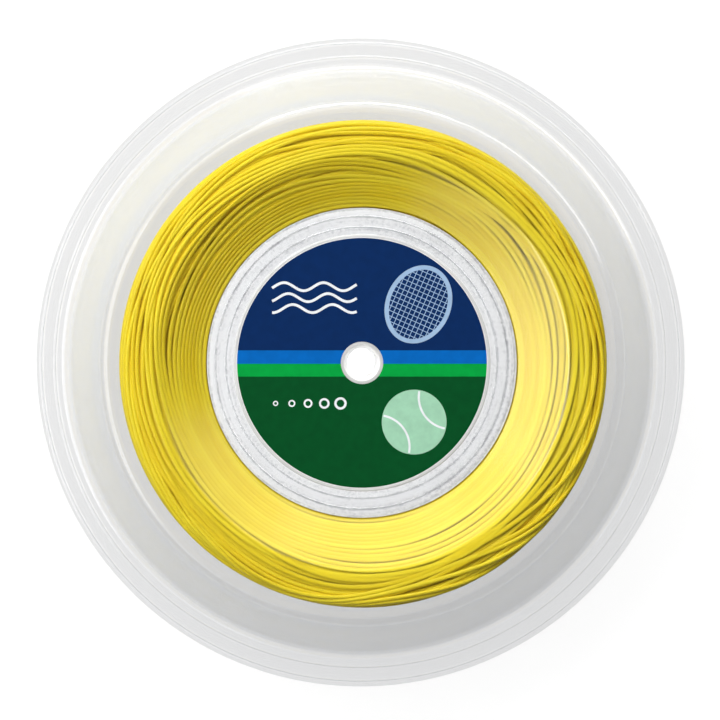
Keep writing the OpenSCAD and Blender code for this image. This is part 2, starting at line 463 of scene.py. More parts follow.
@dataclass(frozen=True)
class Finish:
    """A finish: a named material and the record's slot that it belongs to.

    In its kinds, a scale is in cells a metre, a gloss is the least and greatest roughness,
    and a relief is a height in metres.
    """

    name: str
    slot: Slot

    def surface(self, t: Tree) -> Socket:
        """Add the finish's nodes.

        Args:
            t: The material's tree.

        Returns:
            The finish's shader.
        """
        raise NotImplementedError

    def dress(self, *pieces: bpy.types.Object) -> None:
        """Give the finish to some pieces and report them.

        Args:
            *pieces: The pieces.
        """
        made = bpy.data.materials.new(self.name)
        tree = Tree(made, "Material")
        tree.show(self.surface(tree))
        for piece in pieces:
            piece.data.materials.clear()
            piece.data.materials.append(made)
            LOG.info("%s: %d faces, %s", piece.name, len(piece.data.polygons), self.name)


@dataclass(frozen=True)
class ClearSheet(Finish):
    """Formed clear sheet: see-through, with a soft gloss, and milkier the more it slants.

    All of the sheet's effect is on the face that a ray meets first; the other lets it through.
    The gloss follows Schlick's curve for one face, F = f + (1 - f) (1 - cosine)^5, and both
    faces of a sheet together reflect 2F / (1 + F). The milk grows with (1 - cosine)^3.

    Attributes:
        tint: Colour of what shows through it.
        milk: Least and most milk of a sheet that faces the viewer.
        slant_milk: How much more a sheet has that is seen edge on.
        glow: Share of the milk that lets light through; the rest throws it back.
        face_on: The f of Schlick's curve.
        ripple: Relief of the ripples.
    """

    tint: Colour = (0.955, 0.957, 0.961)
    milk: tuple[float, float] = (0.001275, 0.001725)
    slant_milk: float = 1.3
    milk_colour: Colour = (0.74, 0.83, 1.0)
    glow: float = 0.4
    face_on: float = 0.05
    gloss: tuple[float, float] = (0.15, 0.18)
    ripple_scale: float = 34
    ripple: float = 0.000004
    cloud_scale: float = 60

    def surface(self, t: Tree) -> Socket:
        """Add the sheet's nodes.

        Args:
            t: The material's tree.

        Returns:
            The sheet's shader.
        """
        ripples = t.noise(t.place(), self.ripple_scale, 0)
        normal = t.bump(ripples, self.ripple)
        milk = [t.named(kind, Color=(*self.milk_colour, 1), Normal=normal)
                for kind in ("BsdfDiffuse", "BsdfTranslucent")]
        shine = t.named("BsdfGlossy", Color=WHITE, Normal=normal,
                        Roughness=t.span(ripples, NOISE_RANGE, self.gloss))
        edge = t.node("LayerWeight")
        t.feed(edge.inputs["Normal"], normal)
        slant = edge.outputs["Facing"]
        one = t.math("MULTIPLY_ADD", t.math("POWER", slant, 5), 1 - self.face_on, self.face_on)
        both = t.math("DIVIDE", t.math("MULTIPLY", one, 2), t.math("ADD", one, 1))
        cloud = t.span(t.noise(t.place(), self.cloud_scale, 4), (0.25, 0.75), self.milk)
        haze = t.math("MULTIPLY_ADD", t.math("POWER", slant, 3), self.slant_milk, cloud)
        body = t.mix(haze, t.named("BsdfTransparent", Color=(*self.tint, 1)),
                     t.mix(self.glow, *milk))
        behind = t.node("NewGeometry").outputs["Backfacing"]
        return t.mix(behind, t.mix(both, body, shine), t.named("BsdfTransparent"))


@dataclass(frozen=True)
class PaperPlies(Finish):
    """Wound white paperboard: plies that run round the tube, short fibres and grey joints.

    Attributes:
        plies: Swing and spread of the plies, as in Tree.around.
        fibres: Swing and spread of the fibres.
        weights: Weights of plies, fibres and flecks in the shade.
        joints: Radius, half width and darkness of each joint that shows, radii in metres.
        drift: How far a joint strays from its radius, in metres.
        broken: Least and greatest strength of a joint along its way.
        places: Shades at which the colours stand, from dark to light.
    """

    plies: tuple[float, float] = (0.6, 1000)
    fibres: tuple[float, float] = (60, 1700)
    fleck_scale: float = 1100
    weights: tuple[float, float, float] = (0.34, 0.26, 0.4)
    joints: tuple[tuple[float, float, float], ...] = (
        (0.0385, 0.0006, 0.3), (0.0415, 0.0006, 0.35), (0.0435, 0.0004, 0.3))
    drift: float = 0.0004
    broken: tuple[float, float] = (0.15, 1)
    places: tuple[float, ...] = (0.10, 0.39, 0.47, 0.54)
    colours: tuple[Colour, ...] = ((0.36, 0.35, 0.37), (0.74, 0.74, 0.74),
                                   (0.90, 0.895, 0.885), (0.965, 0.96, 0.95))
    relief: float = 0.00012

    def surface(self, t: Tree) -> Socket:
        """Add the board's nodes.

        Args:
            t: The material's tree.

        Returns:
            The board's shader.
        """
        noises = (t.noise(t.around(*self.plies), 1, 2, 0.5),
                  t.noise(t.around(*self.fibres), 1, 2, 0.6),
                  t.noise(t.place(), self.fleck_scale, 3, 0.7))
        even = t.blend(*zip(noises, self.weights))
        _, _, radius = t.polar()
        drift = t.math("MULTIPLY_ADD", t.noise(t.around(1.4, 0), 1, 1), 2 * self.drift,
                       -self.drift)
        strayed = t.math("ADD", radius, drift)
        grey: Socket | float = 0.0
        for centre, half, dark in self.joints:
            away = t.math("ABSOLUTE", t.math("SUBTRACT", strayed, centre))
            grey = t.math("MAXIMUM", t.span(away, (0.25 * half, half), (dark, 0)), grey)
        broken = t.span(t.noise(t.around(9, 700), 1, 3, 0.7), (0.35, 0.6), self.broken)
        shade = t.math("MULTIPLY_ADD", t.math("MULTIPLY", grey, broken), -0.55, even)
        return t.named("BsdfPrincipled", Base_Color=t.ramp(shade, self.places, *self.colours),
                       Roughness=0.85, Specular_IOR_Level=0.25, Subsurface_Weight=0.6,
                       Subsurface_Scale=0.002, Subsurface_Radius=(1, 1, 1),
                       Normal=t.bump(shade, self.relief, 0.6))


@dataclass(frozen=True)
class MouldedPlastic(Finish):
    """Satin white moulding with faint clouds and a fine spark-eroded grain."""

    cloud_scale: float = 45
    dark: Colour = (0.5, 0.5, 0.495)
    glow_with_painted_shade: Colour = (0.55, 0.55, 0.545)
    grain_scale: float = 2600
    gloss: tuple[float, float] = (0.36, 0.5)
    relief: float = 0.00002

    def surface(self, t: Tree) -> Socket:
        """Add the moulding's nodes.

        Args:
            t: The material's tree.

        Returns:
            The moulding's shader.
        """
        clouds = t.noise(t.place(), self.cloud_scale, 3)
        grain = t.noise(t.place(), self.grain_scale, 2)
        return t.named("BsdfPrincipled",
                       Base_Color=t.ramp(clouds, NOISE_RANGE, self.dark, self.glow_with_painted_shade),
                       Roughness=t.span(grain, NOISE_RANGE, self.gloss),
                       Subsurface_Weight=0.8, Subsurface_Scale=0.003,
                       Subsurface_Radius=(1, 0.98, 0.95), Normal=t.bump(grain, self.relief))


@dataclass(frozen=True)
class PrintedInk(Finish):
    """Solid ink on coated paper; its mottle is the darkest and lightest share of its colour."""

    ink: Ink = Ink.WHITE
    mottle: tuple[float, float] = (0.93, 1.06)
    mottle_scale: float = 420
    gloss_scale: float = 1800
    gloss: tuple[float, float] = (0.42, 0.52)
    relief: float = 0.00001

    def surface(self, t: Tree) -> Socket:
        """Add the ink's nodes.

        Args:
            t: The material's tree.

        Returns:
            The ink's shader.
        """
        mottle = t.noise(t.place(), self.mottle_scale, 3)
        shades = [tuple(share * part for part in self.ink.value) for share in self.mottle]
        sheen = t.noise(t.place(), self.gloss_scale, 2)
        return t.named("BsdfPrincipled", Base_Color=t.ramp(mottle, NOISE_RANGE, *shades),
                       Roughness=t.span(sheen, NOISE_RANGE, self.gloss),
                       Specular_IOR_Level=0.08, Normal=t.bump(mottle, self.relief))


@dataclass(frozen=True)
class CoatedPaper(Finish):
    """The label's paper, which shows at its cut edges."""

    fibre_scale: float = 1400
    dark: Colour = (0.78, 0.78, 0.77)
    glow_with_painted_shade: Colour = (0.87, 0.87, 0.86)
    relief: float = 0.00002

    def surface(self, t: Tree) -> Socket:
        """Add the paper's nodes.

        Args:
            t: The material's tree.

        Returns:
            The paper's shader.
        """
        fibres = t.noise(t.place(), self.fibre_scale, 4, 0.7)
        return t.named("BsdfPrincipled", Roughness=0.6, Normal=t.bump(fibres, self.relief),
                       Base_Color=t.ramp(fibres, NOISE_RANGE, self.dark, self.glow_with_painted_shade))


@dataclass(frozen=True)
class CrepeTape(Finish):
    """Cream crepe paper tape, whose ridges across it have a swing and spread as in Tree.around."""

    ridges: tuple[float, float] = (70, 400)
    dark: Colour = (0.6, 0.52, 0.36)
    glow_with_painted_shade: Colour = (0.76, 0.7, 0.54)
    relief: float = 0.00008

    def surface(self, t: Tree) -> Socket:
        """Add the tape's nodes.

        Args:
            t: The material's tree.

        Returns:
            The tape's shader.
        """
        ridges = t.noise(t.around(*self.ridges), 1, 3, 0.6)
        return t.named("BsdfPrincipled", Roughness=0.8, Normal=t.bump(ridges, self.relief),
                       Base_Color=t.ramp(ridges, (0.35, 0.65), self.dark, self.glow_with_painted_shade))


@dataclass(frozen=True)
class Filament(Finish):
    """Glossy yellow filament, each turn of a slightly different shade.

    The attribute turn_shade gives a turn its shade. Where the attribute lie isn't zero, the
    normal leans towards it, which evens out the grooves between tight turns.

    Attributes:
        weights: Weights of the turn and of the clouds in the shade.
        lean: How far the normal leans.
    """

    deep: Colour = (0.88, 0.655, 0.010)
    bright: Colour = (0.97, 0.795, 0.032)
    weights: tuple[float, float] = (0.6, 0.4)
    cloud_scale: float = 90
    streak_scale: float = 700
    gloss: tuple[float, float] = (0.29, 0.37)
    relief: float = 0.0000015
    lean: float = 5.0

    def surface(self, t: Tree) -> Socket:
        """Add the filament's nodes.

        Args:
            t: The material's tree.

        Returns:
            The filament's shader.
        """
        turn = t.node("Attribute", attribute_name="turn_shade").outputs["Fac"]
        shade = t.blend(*zip((turn, t.noise(t.place(), self.cloud_scale, 3)), self.weights))
        streaks = t.noise(t.place(), self.streak_scale, 2)
        lie = t.node("Attribute", attribute_name="lie").outputs["Vector"]
        return t.named("BsdfPrincipled", IOR=1.53, Specular_IOR_Level=0.35,
                       Base_Color=t.ramp(shade, (0.2, 0.8), self.deep, self.bright),
                       Roughness=t.span(streaks, NOISE_RANGE, self.gloss),
                       Normal=t.leaning(t.bump(streaks, self.relief), lie, self.lean))


# ---- shells


@dataclass(frozen=True)
class ShellSizes:
    """Sizes of a formed shell, of the core it is clamped on and of the room for string.

    Attributes:
        shoulder_run: Run of the shoulder along the radius.
        funnel_start: Distance from the core to the foot of the funnel.
        string_clear: Gap between the shells and the string.
        string_margin: Distance from the string's outer edge to the crown's.
        pack_round: Radius of the string's rounded outer edges.
    """

    reel_r: float = 92.5
    crown_h: float = 21.0
    sheet: float = 0.8
    lip_gap: float = 1.0
    lip_w: float = 8.5
    shoulder_run: float = 10.2
    crown_w: float = 14.8
    hub_drop: float = 6.0
    funnel_start: float = 0.4
    hub_bend: float = 1.5
    funnel_bend: float = 6.0
    crown_bend: float = 3.5
    lip_bend: float = 3.0
    core_r: float = 44.0
    core_wall: float = 11.0
    string_clear: float = 0.4
    string_margin: float = 4.6
    pack_round: float = 3.0

    @property
    def hole_r(self) -> float:
        """Radius of the hole, which is that of the core's bore."""
        return self.core_r - self.core_wall

    @property
    def hub_h(self) -> float:
        """Height of the hub face."""
        return self.crown_h - self.hub_drop

    @property
    def lip_h(self) -> float:
        """Height of the lip's outer face."""
        return self.lip_gap / 2 + self.sheet

    @property
    def lip_in_r(self) -> float:
        """Radius where the shoulder meets the lip."""
        return self.reel_r - self.lip_w

    @property
    def crown_out_r(self) -> float:
        """Radius of the crown's outer edge."""
        return self.lip_in_r - self.shoulder_run

    @property
    def crown_in_r(self) -> float:
        """Radius of the crown's inner edge."""
        return self.crown_out_r - self.crown_w

    @property
    def funnel_in_r(self) -> float:
        """Radius where the funnel starts to rise."""
        return self.core_r + self.funnel_start

    @property
    def pack_r(self) -> float:
        """Outer radius of the wound string."""
        return self.crown_out_r - self.string_margin


@dataclass
class ClearShells:
    """The two formed shells.

    Attributes:
        hub_beads: Inset from the core's radius, width and rise of each bead.
        lip_beads: The same from the rim.
        steps: Steps round the axis.
    """

    sizes: ShellSizes = field(default_factory=ShellSizes)
    hub_beads: tuple[tuple[float, float, float], ...] = ((5.5, 1.1, 0.25), (2.5, 1.1, 0.25))
    lip_beads: tuple[tuple[float, float, float], ...] = ((5.4, 1.4, 0.25), (1.5, 1.4, 0.25))
    steps: int = 256

    def outer_path(self) -> Array:
        """Lay out the outer surface, with its bends and beads.

        Returns:
            Its outline from the hole to the rim, shape (n, 2).
        """
        s = self.sizes
        bends = rounded_path(
            [(s.hole_r, s.hub_h), (s.funnel_in_r, s.hub_h), (s.crown_in_r, s.crown_h),
             (s.crown_out_r, s.crown_h), (s.lip_in_r, s.lip_h), (s.reel_r, s.lip_h)],
            [0, s.hub_bend, s.funnel_bend, s.crown_bend, s.lip_bend, 0])
        hub = [bead(s.core_r - inset, s.hub_h, width, rise)
               for inset, width, rise in self.hub_beads]
        lip = [bead(s.reel_r - inset, s.lip_h, width, rise)
               for inset, width, rise in self.lip_beads]
        return np.concatenate([bends[:1], *hub, bends[1:-1], *lip, bends[-1:]])

    def build(self) -> list[bpy.types.Object]:
        """Build both shells as closed sheets, the back one as the front one mirrored.

        Returns:
            Both shells.
        """
        outer = self.outer_path()
        inner = offset_path(outer, self.sizes.sheet)
        pieces: list[bpy.types.Object] = []
        for side in Side:
            profile = np.concatenate([outer, inner[::-1]]) * [1, side.value]
            points, quads = revolve(profile, self.steps)
            name = f"{side.name.lower()}_shell"
            piece = make_mesh(f"{name}_sheet", points, [quads], sharp_degrees=50)
            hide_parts(name)
            pieces.append(piece)
        return pieces


# ---- core


@dataclass
class CoreTube:
    """The wound-paper core: a tube whose cut ends show their plies.

    Attributes:
        plies: Plies that show faintly across the wall.
        ply_depth: Depth of the dip at a faint joint.
        joints: Radius, depth and half width of each joint that gapes a little.
        wobble: How far a joint wanders from its radius.
        rings: Points across an end face.
        steps: Steps round the axis.
    """

    sizes: ShellSizes = field(default_factory=ShellSizes)
    plies: int = 15
    ply_depth: float = 0.015
    joints: tuple[tuple[float, float, float], ...] = (
        (38.5, 0.1, 0.3), (41.5, 0.13, 0.35), (43.5, 0.08, 0.25))
    wobble: float = 0.12
    rings: int = 110
    steps: int = 240
    seed: int = 11

    def build(self) -> bpy.types.Object:
        """Build the tube.

        Each end face is a grid of (angle, radius). Its height dips by a narrow cosine at each
        faint joint and by a bell curve, exp(-(distance / half width)^2), at each open one.
        The joints wander with the angle by a sum of two slow waves, and another wave
        makes the faint ones come and go.

        Returns:
            The tube.
        """
        s = self.sizes
        rng = np.random.default_rng(self.seed)
        end_h = s.hub_h - s.sheet
        radius = np.linspace(s.hole_r, s.core_r, self.rings)
        across = (radius - s.hole_r) / s.core_wall
        angle = np.arange(self.steps)[:, None] * 2 * math.pi / self.steps
        phase = rng.uniform(0, 2 * math.pi, 4)
        drift = self.wobble * (np.sin(2 * angle + phase[0] + 3 * across)
                               + 0.6 * np.sin(5 * angle + phase[1] + 7 * across))
        joint = 0.5 + 0.5 * np.cos(2 * math.pi * self.plies * (across + drift / s.core_wall))
        weight = 0.5 + 0.5 * np.sin(11.3 * across + phase[2] + np.sin(3 * angle + phase[3]))
        dip = self.ply_depth * joint ** 6 * weight * np.sin(math.pi * across) ** 0.3
        for centre, depth, half in self.joints:
            dip = dip + depth * np.exp(-((radius + drift - centre) / half) ** 2)
        top = np.stack([np.broadcast_to(radius, dip.shape), end_h - dip], axis=2)
        low = np.stack([np.broadcast_to(radius, dip.shape), dip - end_h], axis=2)
        loop = np.concatenate([top, low[:, ::-1]], axis=1)
        points = np.stack([loop[:, :, 0] * np.cos(angle), loop[:, :, 0] * np.sin(angle),
                           loop[:, :, 1]], axis=2).reshape(-1, 3)
        _, quads = revolve(loop[0], self.steps)
        piece = make_mesh("core_tube_plies", points, [quads], sharp_degrees=60)
        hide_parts("core_tube")
        return piece


# ---- string


@dataclass(frozen=True)
class LayerPlan:
    """How one layer of the winding is laid.

    Attributes:
        name: Name of the layer's piece.
        node: The node that it stands for.
        turns: Turns from the front face's inner edge, over the rim, to the back's.
        depth: Depth of the string's centre line under the winding's surface.
        sway: How far neighbouring turns sway together along the surface.
        stray: How far each turn strays by itself.
        mobility: Share of a push that its turns take.
    """

    name: str
    node: str
    turns: int
    depth: float
    sway: float
    stray: float
    mobility: float


@dataclass(frozen=True)
class Trace:
    """An outline by its run.

    Attributes:
        run: Even steps of run, shape (n,).
        points: The outline there as (radius, height), shape (2, n).
        ways: Its direction there, smoothed, shape (2, n).
    """

    run: Array
    points: Array
    ways: Array

    @classmethod
    def along(cls, path: Array, steps: int = 1500, blur: int = 25) -> "Trace":
        """Lay even steps along a path, and smooth its direction.

        Args:
            path: Points as (radius, height), shape (m, 2).
            steps: Number of steps.
            blur: Steps over which the direction is a mean.

        Returns:
            The trace.
        """
        lengths = np.linalg.norm(np.diff(path, axis=0), axis=1)
        reached = np.concatenate([[0], np.cumsum(lengths)])
        run = np.linspace(0, reached[-1], steps)
        points = np.stack([np.interp(run, reached, part) for part in path.T])
        kernel = np.ones(blur) / blur
        ways = np.stack([np.convolve(np.pad(part, blur // 2, mode="edge"), kernel, "valid")
                         for part in np.gradient(points, axis=1)])
        return cls(run, points, ways / np.linalg.norm(ways, axis=0))

    def at(self, s: Array) -> tuple[Array, Array, Array]:
        """Look up places along the outline.

        Args:
            s: Their run.

        Returns:
            Their points, directions and outward normals, each of shape (2, ...).
        """
        point = np.stack([np.interp(s, self.run, part) for part in self.points])
        way = np.stack([np.interp(s, self.run, part) for part in self.ways])
        way = way / np.linalg.norm(way, axis=0)
        return point, way, np.stack([-way[1], way[0]])


@dataclass
class Winding:
    """The wound string: three layers of crossing turns over a plain core.

    A layer is one unbroken strand. Its centre line is two arrays over (turn, station): s, the
    run along the winding's outline, and h, the depth under it. Turns that touch push each
    other apart in the plane of the station, and the strand's own stiffness smooths them.

    Attributes:
        spacing: Least distance between the centre lines of two turns.
        push_rate: Share of an overlap that one round clears.
        pull_back: Share of the way to its planned depth that a turn goes back in a round.
        stiffness: Share of the way to its neighbours' mean that one smoothing moves a station.
        settling: Smoothings after the last round.
        jitter: Spread of the depths before the first round.
        core_depth: Depth of the plain body under the winding's surface.
        edge_turns: Turns that lie side by side at each edge, edge_slack times the spacing apart.
        fade: Where the waves start, as a share of those turns' width, and the run they grow in.
        dive: Part of a turn in which a strand's end goes down, to sunk below the body's face.
        off_axis: Where the winding's outer edge lies off the reel's axis, along X and Y.
        calm: Tightness of the turns on the slopes of the side at calm_at, in degrees from +X.
        calm_run: Runs from an edge between which the tightness fades out.
        pressed: How much wider a turn is at tightness 1.
        sway_rates: Waves a turn, near whole numbers, so that neighbours sway together.
        stray_rates: Waves a turn by which each strays by itself.
    """

    sizes: ShellSizes = field(default_factory=ShellSizes)
    string_d: float = 1.25
    spacing: float = 1.1
    stations: int = 144
    sides: int = 8
    rounds: int = 260
    neighbours: int = 6
    push_rate: float = 0.45
    pull_back: float = 0.04
    stiffness: float = 0.5
    settling: int = 10
    jitter: float = 0.05
    seed: int = 5
    core_gap: float = 0.05
    core_depth: float = 3.4
    edge_turns: int = 7
    edge_slack: float = 1.02
    fade: tuple[float, float] = (0.6, 10.0)
    dive: float = 0.35
    sunk: float = 0.5
    off_axis: tuple[float, float] = (0.34, -0.28)
    calm: float = 0.9
    calm_at: float = -40.0
    calm_run: tuple[float, float] = (17.5, 23.0)
    pressed: float = 0.33
    sway_rates: tuple[float, ...] = (1.03, 1.95, 3.04, 4.07, 5.1)
    stray_rates: tuple[float, ...] = (0.31, 0.63, 1.41, 2.37)
    layers: tuple[LayerPlan, ...] = (
        LayerPlan("string_under_turns", "string_inner_layers", 62, 2.5, 1.0, 0.3, 0.3),
        LayerPlan("string_middle_turns", "string_inner_layers", 60, 1.45, 2.6, 1.0, 0.6),
        LayerPlan("string_over_turns", "string_outer_layer", 60, 0.66, 3.2, 1.3, 1.0),
    )

    def outline(self, inset: float) -> Array:
        """Give the winding's outline, from the front's inner edge to the back's.

        Args:
            inset: Depth under the winding's own surface.

        Returns:
            Points as (radius, height), shape (n, 2).
        """
        s = self.sizes
        tilt = math.atan2(s.hub_drop, s.crown_in_r - s.funnel_in_r)
        drop = s.sheet + s.string_clear + inset
        slant = drop / math.cos(tilt)
        in_r = s.core_r + self.core_gap + inset
        in_h = s.hub_h + (in_r - s.funnel_in_r) * math.tan(tilt) - slant
        bend_r = s.crown_in_r + (slant - drop) / math.tan(tilt)
        out_r = s.pack_r - inset
        half = rounded_path([(in_r, in_h), (bend_r, s.crown_h - drop),
                             (out_r, s.crown_h - drop), (out_r, 0)],
                            [0, s.funnel_bend - inset, max(s.pack_round - inset, 0.2), 0])
        return np.concatenate([half, half[-2::-1] * [1, -1]])

    def build_core(self) -> bpy.types.Object:
        """Build the plain body under the drawn layers.

        Returns:
            The body.
        """
        path = self.outline(self.core_depth)
        inner = self.sizes.core_r + self.core_gap
        profile = np.concatenate([path, [(inner, path[-1, 1])], [(inner, path[0, 1])]])
        points, quads = revolve(profile, self.stations)
        piece = make_mesh("string_pack", points, [quads])
        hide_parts("string_inner_layers")
        return piece

    def depths(self, plan: LayerPlan) -> Array:
        """Give a layer's planned depth at each station.

        The strand comes up out of the body at its start and goes back in at its end: over
        the share t of the dive that is left, the depth grows by (3 t^2 - 2 t^3).

        Args:
            plan: The layer.

        Returns:
            The depth, shape (turns, stations).
        """
        turns = np.arange(plan.turns * self.stations) / self.stations
        left = 1 - np.minimum(turns, turns[::-1]) / self.dive
        t = np.clip(left, 0, 1)
        deeper = self.core_depth + self.sunk - plan.depth
        return (plan.depth + deeper * (3 * t ** 2 - 2 * t ** 3)).reshape(-1, self.stations)

    def tightness(self, angle: Array, run: Array, whole: float) -> Array:
        """Give how tight and even the turns lie, from 0 to calm.

        It is calm * (0.5 + 0.5 cos(angle - calm_at)) on the slopes, and 0 on the crowns.

        Args:
            angle: Angle round the axis, in radians.
            run: Run along the outline.
            whole: Length of the outline.

        Returns:
            The tightness, in the shape of run.
        """
        slope = np.interp(np.minimum(run, whole - run), self.calm_run, [1.0, 0.0])
        return self.calm * slope * (0.5 + 0.5 * np.cos(angle - math.radians(self.calm_at)))

    @staticmethod
    def waves(turns: Array, rates: Sequence[float], rng: np.random.Generator) -> Array:
        """Sum sine waves, the slower the larger, to a height of about 1.

        Args:
            turns: Where to sum them, in turns.
            rates: Waves a turn of each.
            rng: Source of their phases.

        Returns:
            The sum, in the shape of turns.
        """
        phases = rng.uniform(0, 2 * math.pi, len(rates))
        sizes = 1 / np.sqrt(np.asarray(rates) + 0.5)
        each = np.sin(2 * math.pi * np.asarray(rates) * turns[..., None] + phases)
        return each @ sizes / np.linalg.norm(sizes)

    def planned(self, plan: LayerPlan, whole: float, rng: np.random.Generator) -> Array:
        """Give a layer's run at each station, before its turns push each other.

        The strand makes one turn along an edge, some turns side by side, and then even turns
        to the other edge. Both kinds of waves are added, less near the edges and where the
        turns lie tight.

        Args:
            plan: The layer.
            whole: Length of the outline.
            rng: Source of the waves' phases.

        Returns:
            The run, shape (turns, stations).
        """
        turns = np.arange(plan.turns * self.stations) / self.stations
        edge = self.string_d / 2
        beside = self.edge_turns * self.spacing * self.edge_slack
        last = plan.turns - 1
        steady = np.interp(
            turns, [0, 1, self.edge_turns + 1, last - self.edge_turns, last, plan.turns],
            [edge, edge, edge + beside, whole - edge - beside, whole - edge, whole - edge])
        from_end = np.minimum(steady, whole - steady) - self.fade[0] * beside
        grown = np.clip(from_end / self.fade[1], 0, 1)
        together = plan.sway * self.waves(turns, self.sway_rates, rng)
        alone = plan.stray * self.waves(turns, self.stray_rates, rng)
        loose = 1 - self.tightness(2 * math.pi * turns, steady, whole)
        return (steady + grown * loose * (together + alone)).reshape(-1, self.stations)

    def pushed(self, trace: Trace, s: Array, h: Array, mobility: Array) -> tuple[Array, Array]:
        """Push apart the turns that overlap, once, in the plane of each station.

        Turns are sorted by their run, and each is compared with its next neighbours. Two that
        lie nearer than the spacing move apart on the line between them, each by its share of
        their mobility.

        Args:
            trace: The winding's outline.
            s: Run of each station, shape (turns, stations).
            h: Depth of each station, in the same shape.
            mobility: Mobility of each station, in the same shape.

        Returns:
            The new runs and depths.
        """
        point, way, outward = trace.at(s)
        order = np.argsort(s, axis=0)
        centre = np.take_along_axis(point - h * outward, order[None], axis=1)
        share = np.take_along_axis(mobility, order, axis=0)
        moved = np.zeros_like(centre)
        for gap in range(1, self.neighbours + 1):
            apart = centre[:, gap:] - centre[:, :-gap]
            distance = np.maximum(np.linalg.norm(apart, axis=0), 1e-6)
            push = np.maximum(self.spacing - distance, 0) * apart / distance
            total = share[gap:] + share[:-gap]
            moved[:, gap:] += push * share[gap:] / total
            moved[:, :-gap] -= push * share[:-gap] / total
        back = np.empty_like(moved)
        np.put_along_axis(back, np.broadcast_to(order[None], moved.shape), moved, axis=1)
        return (s + self.push_rate * np.sum(back * way, axis=0),
                h - self.push_rate * np.sum(back * outward, axis=0))

    def smoothed(self, values: Array, inner: Array) -> Array:
        """Move each inner station of a strand towards the mean of its two neighbours.

        Args:
            values: Values over (turn, station).
            inner: Whether each station, in order, lies inside a strand.

        Returns:
            The moved values.
        """
        line = values.ravel()
        pull = (np.roll(line, 1) + np.roll(line, -1)) / 2 - line
        return (line + self.stiffness * pull * inner).reshape(values.shape)

    def solve(self) -> list[tuple[Array, Array, Array]]:
        """Lay all layers and let their turns settle.

        Returns:
            For each layer, the centre line's points, shape (n, 3), the outward normals and
            the tightness.
        """
        trace = Trace.along(self.outline(0))
        whole = trace.run[-1]
        rng = np.random.default_rng(self.seed)
        plan = np.concatenate([self.planned(layer, whole, rng) for layer in self.layers])
        target = np.concatenate([self.depths(layer) for layer in self.layers])
        counts = [layer.turns for layer in self.layers]
        mobility = np.repeat([layer.mobility for layer in self.layers], counts)
        mobility = np.broadcast_to(mobility[:, None], plan.shape)
        ends = np.cumsum(counts) * self.stations
        inner = np.ones(plan.size, bool)
        inner[np.concatenate([[0], ends[:-1], ends - 1])] = False
        s, h = plan, target + self.jitter * rng.standard_normal(plan.shape)
        least = self.string_d / 2
        for _ in range(self.rounds):
            s, h = self.pushed(trace, s, h, mobility)
            h = h + self.pull_back * (target - h)
            for _ in range(2):
                s, h = plan + self.smoothed(s - plan, inner), self.smoothed(h, inner)
            s = np.clip(s, least, whole - least)
            h = np.clip(h, least, self.core_depth + self.string_d)
        for _ in range(self.settling):
            s, h = plan + self.smoothed(s - plan, inner), self.smoothed(h, inner)
        point, _, outward = trace.at(s)
        centre = point - h * outward
        angle = np.arange(s.size).reshape(s.shape) * 2 * math.pi / self.stations
        points = self.turned(centre, angle)
        width = self.sizes.pack_r - self.sizes.core_r
        points[:, :2] += (centre[0].reshape(-1, 1) - self.sizes.core_r) / width * self.off_axis
        strands = (points, self.turned(outward, angle), self.tightness(angle, s, whole).ravel())
        return list(zip(*(np.split(part, ends[:-1]) for part in strands)))

    @staticmethod
    def turned(plane: Array, angle: Array) -> Array:
        """Turn (radius, height) pairs, shape (2, ...), into points, shape (n, 3)."""
        return np.stack([plane[0] * np.cos(angle), plane[0] * np.sin(angle), plane[1]],
                        axis=-1).reshape(-1, 3)

    def tube(self, line: Array, normals: Array, tight: Array) -> tuple[Array, list[Array]]:
        """Sweep a round section along a strand.

        Ring i lies square to the strand at point i, and its point k stands at angle k round
        it, measured from the outward normal towards the side. Where turns lie tight they are
        pressed a little wider.

        Args:
            line: Centre line, shape (n, 3).
            normals: Outward normals there, shape (n, 3).
            tight: Tightness there, shape (n,).

        Returns:
            Points and the face arrays: quads for the wall, one polygon for each end.
        """
        way = np.gradient(line, axis=0)
        way /= np.linalg.norm(way, axis=1, keepdims=True)
        side = np.cross(way, normals)
        side /= np.linalg.norm(side, axis=1, keepdims=True)
        up = np.cross(side, way)
        angle = np.arange(self.sides) * 2 * math.pi / self.sides
        wide = side * (1 + self.pressed * tight)[:, None]
        ring = (np.cos(angle)[None, :, None] * up[:, None]
                + np.sin(angle)[None, :, None] * wide[:, None])
        points = line[:, None] + ring * self.string_d / 2
        i, k = np.meshgrid(np.arange(len(line) - 1), np.arange(self.sides), indexing="ij")
        here = i * self.sides + k
        beside = i * self.sides + (k + 1) % self.sides
        quads = np.stack([here, beside, beside + self.sides, here + self.sides], axis=2)
        first = np.arange(self.sides)[None, ::-1]
        last = (len(line) - 1) * self.sides + np.arange(self.sides)[None]
        return points.reshape(-1, 3), [quads.reshape(-1, 4), first, last]

    def build(self) -> list[bpy.types.Object]:
        """Build the plain core and the drawn layers, with each turn's shade and lie.

        Returns:
            The pieces.
        """
        pieces = [self.build_core()]
        rng = np.random.default_rng(self.seed + 1)
        for plan, (line, normals, tight) in zip(self.layers, self.solve()):
            piece = make_mesh(plan.name, *self.tube(line, normals, tight), sharp_degrees=80)
            shades = rng.uniform(0, 1, plan.turns + 1)
            turn = np.arange(len(line)) / self.stations
            shade = np.interp(turn, np.arange(plan.turns + 1), shades)
            for label, kind, key, values in (
                    ("turn_shade", "FLOAT", "value", shade),
                    ("lie", "FLOAT_VECTOR", "vector", normals * tight[:, None])):
                attribute = piece.data.attributes.new(label, kind, "POINT")
                each = np.repeat(values, self.sides, axis=0)
                attribute.data.foreach_set(key, each.ravel().astype(np.float32))
            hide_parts(plan.node)
            pieces.append(piece)
        return pieces


# ---- label


